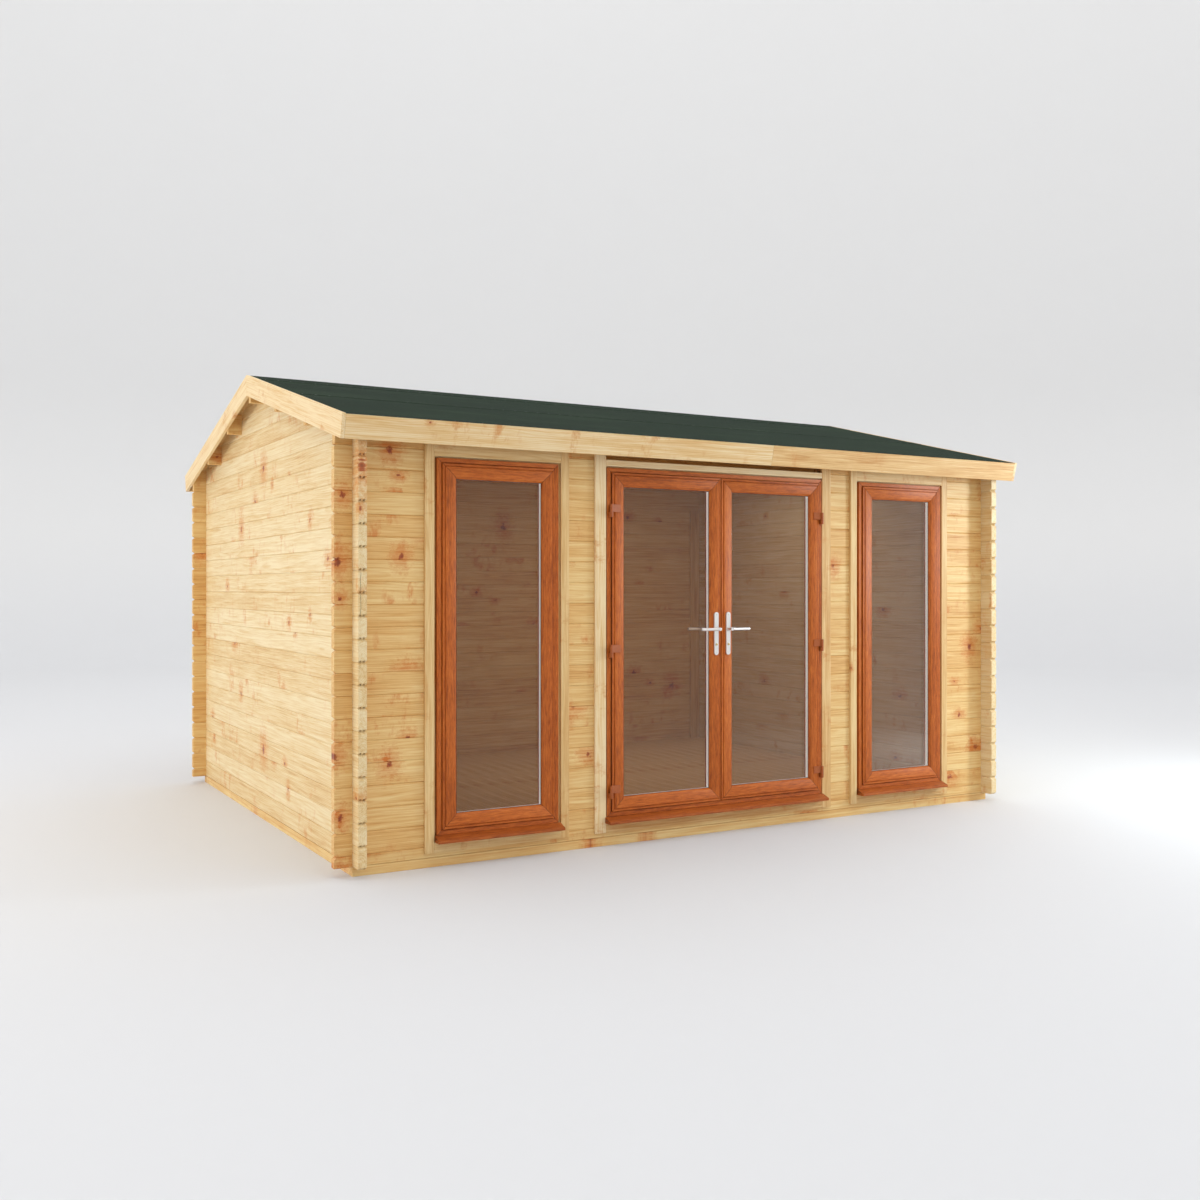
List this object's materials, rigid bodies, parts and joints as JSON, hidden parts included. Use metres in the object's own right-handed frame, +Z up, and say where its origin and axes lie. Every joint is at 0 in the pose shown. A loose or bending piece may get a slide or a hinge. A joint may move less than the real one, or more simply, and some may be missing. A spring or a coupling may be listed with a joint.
{
  "type": "log cabin",
  "caption": "Garden log cabin of interlocking pine logs with a low felted roof, glazed French doors between two tall windows, and log ends that cross at the corners.",
  "frame": {"origin": "centre of the footprint, on the ground under the bearers", "axes": "+X runs along the front from left to right, the front faces -Y, +Z is up"},
  "size_m": [4.688, 3.7822, 2.7595],
  "materials": {
    "pine_logs": "planed raw pine logs with knots",
    "planed_pine": "planed pale pine boards",
    "treated_pine": "sawn pine bearers",
    "green_felt": "green mineral felt",
    "oak_grain_upvc": "golden oak wood-grain foil on plastic profile",
    "glass": "lightly tinted clear glass",
    "handle_metal": "bright satin metal"
  },
  "bodies": {
    "root": {"bearer_frame": "treated_pine", "floor_joists": "treated_pine", "floor_boards": "planed_pine", "front_sill_log": "pine_logs", "front_left_pier": "pine_logs", "front_left_inner_pier": "pine_logs", "front_right_inner_pier": "pine_logs", "front_right_pier": "pine_logs", "front_eaves_log": "pine_logs", "back_wall": "pine_logs", "left_wall": "pine_logs", "right_wall": "pine_logs", "left_gable": "pine_logs", "right_gable": "pine_logs", "storm_battens": "planed_pine", "purlins": "pine_logs", "ridge_beam": "pine_logs", "roof_boards": "planed_pine", "roof_felt": "green_felt", "barge_boards": "planed_pine", "fascia_boards": "planed_pine", "left_window_surround": "planed_pine", "left_window_frame": "oak_grain_upvc", "left_window_sash": "oak_grain_upvc", "left_window_glass": "glass", "left_window_cill": "oak_grain_upvc", "right_window_surround": "planed_pine", "right_window_frame": "oak_grain_upvc", "right_window_sash": "oak_grain_upvc", "right_window_glass": "glass", "right_window_cill": "oak_grain_upvc", "door_surround": "planed_pine", "door_frame": "oak_grain_upvc", "door_cill": "oak_grain_upvc", "door_frame_hinges": "oak_grain_upvc"},
    "left_door": {"left_leaf": "oak_grain_upvc", "left_leaf_glass": "glass", "left_leaf_hinges": "oak_grain_upvc", "left_handle_plates": "handle_metal"},
    "left_handle": {"left_lever": "handle_metal"},
    "right_door": {"right_leaf": "oak_grain_upvc", "right_leaf_glass": "glass", "right_leaf_hinges": "oak_grain_upvc", "right_handle_plates": "handle_metal"},
    "right_handle": {"right_lever": "handle_metal"}
  },
  "joints": [
    {"name": "left_door_hinge", "type": "hinge", "parent": "root", "child": "left_door", "pos_m": [-0.758, -1.756, 1.14], "axis": [0, 0, -1], "range_deg": [0, 100]},
    {"name": "right_door_hinge", "type": "hinge", "parent": "root", "child": "right_door", "pos_m": [0.758, -1.756, 1.14], "axis": [0, 0, 1], "range_deg": [0, 100]},
    {"name": "left_lever_turn", "type": "hinge", "parent": "left_door", "child": "left_handle", "pos_m": [-0.043, -1.72, 1.202], "axis": [0, -1, 0], "range_deg": [0, 35], "stiffness_Nm_per_rad": 1.5, "springref_deg": -20.05},
    {"name": "right_lever_turn", "type": "hinge", "parent": "right_door", "child": "right_handle", "pos_m": [0.043, -1.72, 1.202], "axis": [0, 1, 0], "range_deg": [0, 35], "stiffness_Nm_per_rad": 1.5, "springref_deg": -20.05}
  ]
}
